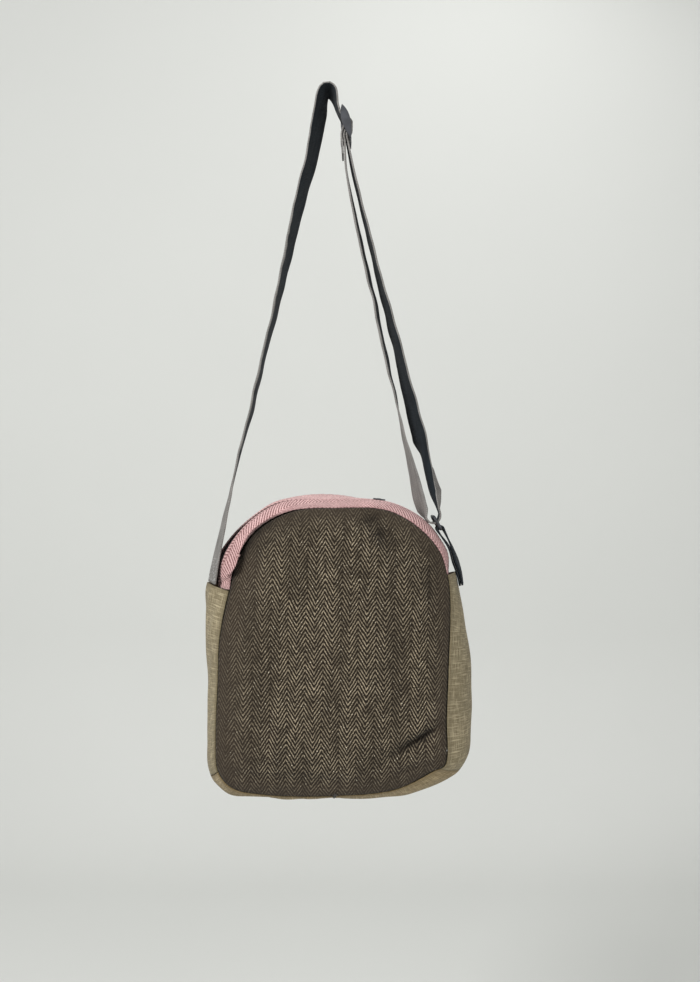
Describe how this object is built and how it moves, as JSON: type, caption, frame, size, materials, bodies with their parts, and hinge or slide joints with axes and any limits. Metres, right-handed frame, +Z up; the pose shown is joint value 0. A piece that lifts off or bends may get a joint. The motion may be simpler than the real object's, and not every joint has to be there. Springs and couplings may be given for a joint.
{
  "type": "hemp crossbody bag",
  "caption": "Small soft hemp crossbody bag with a herringbone front panel, tan gussets, a pink zipped arch and a long webbing strap with slider and ring, shown hanging by its strap.",
  "frame": {"origin": "in the top of the strap's bend, where a peg carries the bag", "axes": "+Z up, +X to the viewer's right, +Y from the front panel to the wall behind"},
  "size_m": [0.2674, 0.0895, 0.722],
  "materials": {
    "brown_herringbone": "matte herringbone weave in dark brown and straw",
    "tan_hemp": "matte plain hemp weave",
    "pink_herringbone": "matte small herringbone weave in pink",
    "black_zip": "matte tape with coil teeth",
    "grey_webbing": "grey outside, near-black inside, ribbed",
    "dark_metal": "satin gunmetal coating"
  },
  "bodies": {
    "root": {"front_panel": "brown_herringbone", "back_panel": "tan_hemp", "side_gusset_left": "tan_hemp", "side_gusset_right": "tan_hemp", "bottom_gusset": "tan_hemp", "top_band_front": "pink_herringbone", "top_band_back": "pink_herringbone", "zip_tape": "black_zip", "zip_chain": "black_zip", "zip_slider": "dark_metal", "strap": "grey_webbing", "ring_tab": "grey_webbing", "strap_slider": "dark_metal", "strap_ring": "dark_metal"}
  },
  "joints": []
}
